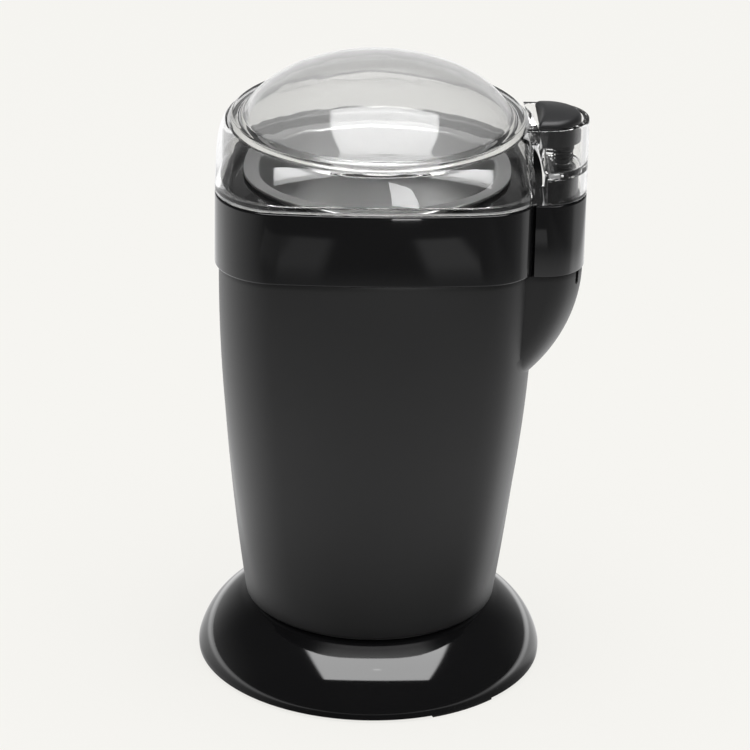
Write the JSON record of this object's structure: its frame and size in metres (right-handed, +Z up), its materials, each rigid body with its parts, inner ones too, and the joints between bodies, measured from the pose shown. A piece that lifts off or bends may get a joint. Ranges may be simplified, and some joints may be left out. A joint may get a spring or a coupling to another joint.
{
  "type": "electric spice grinder",
  "caption": "Small electric blade grinder with a flared foot, tapering body, gloss collar, clear domed lid and a start button in the lid's side tab.",
  "frame": {"origin": "centre of the round foot, at worktop level", "axes": "+Z up along the motor shaft, -Y towards the flat front, +X to the side that carries the switch pod"},
  "size_m": [0.1189, 0.1102, 0.2012],
  "materials": {
    "gloss_black": "high gloss",
    "matte_black": "fine matte",
    "foot_black": "satin gloss",
    "hub_black": "moulded",
    "rubber_black": "matte",
    "clear": "clear",
    "button_grey": "fine matte",
    "bowl_steel": "brushed",
    "blade_steel": "polished",
    "zinc": "zinc plated",
    "iron": "laminated",
    "copper": "enamelled",
    "bronze": "sintered",
    "white_plastic": "moulded",
    "phenolic": "moulded",
    "carbon": "pressed",
    "seal": "matte"
  },
  "bodies": {
    "stand": {"base_shell": "foot_black", "foot_pads": "rubber_black", "cord_spool": "hub_black", "spool_flange": "hub_black", "cord_gland": "rubber_black", "base_screws": "zinc", "lower_housing": "matte_black", "upper_collar": "gloss_black", "collar_screws": "zinc", "chassis_base": "white_plastic", "chassis_top": "white_plastic", "chassis_screws": "zinc", "motor_grommets": "seal", "upper_bracket": "zinc", "lower_bracket": "zinc", "motor_screws": "zinc", "motor_nuts": "zinc", "upper_bearing": "bronze", "lower_bearing": "bronze", "field_stack": "iron", "field_coils": "copper", "brush_holders": "phenolic", "carbon_brushes": "carbon", "brush_springs": "zinc", "micro_switch": "phenolic", "grinding_bowl": "bowl_steel", "bowl_gasket": "seal", "shaft_seal": "seal"},
    "rotor": {"motor_shaft": "blade_steel", "armature_core": "iron", "armature_windings": "copper", "commutator": "copper", "cooling_fan": "hub_black", "blade": "blade_steel", "blade_collar": "hub_black", "blade_nut": "blade_steel"},
    "plunger": {"switch_plunger": "white_plastic", "plunger_clip": "zinc", "plunger_spring": "zinc"},
    "lid": {"lid_shell": "clear"},
    "button": {"start_button": "button_grey", "button_clip": "zinc", "button_spring": "zinc"}
  },
  "joints": [
    {"name": "rotor_spin", "type": "hinge", "parent": "stand", "child": "rotor", "pos_m": [0, 0, 0.1], "axis": [0, 0, 1], "continuous": true},
    {"name": "lid_lift", "type": "slide", "parent": "stand", "child": "lid", "axis": [0, 0, 1], "range_m": [0, 0.06]},
    {"name": "button_press", "type": "slide", "parent": "lid", "child": "button", "axis": [0, 0, -1], "range_m": [0, 0.0025], "stiffness_N_per_m": 400, "springref_m": -0.002, "deforming": ["button_spring"]},
    {"name": "plunger_press", "type": "slide", "parent": "stand", "child": "plunger", "axis": [0, 0, -1], "range_m": [0, 0.0025], "stiffness_N_per_m": 150, "springref_m": -0.002, "deforming": ["plunger_spring"]}
  ],
  "couplings": [
    {"joint": "plunger_press", "follows": "button_press", "ratio": 1}
  ]
}
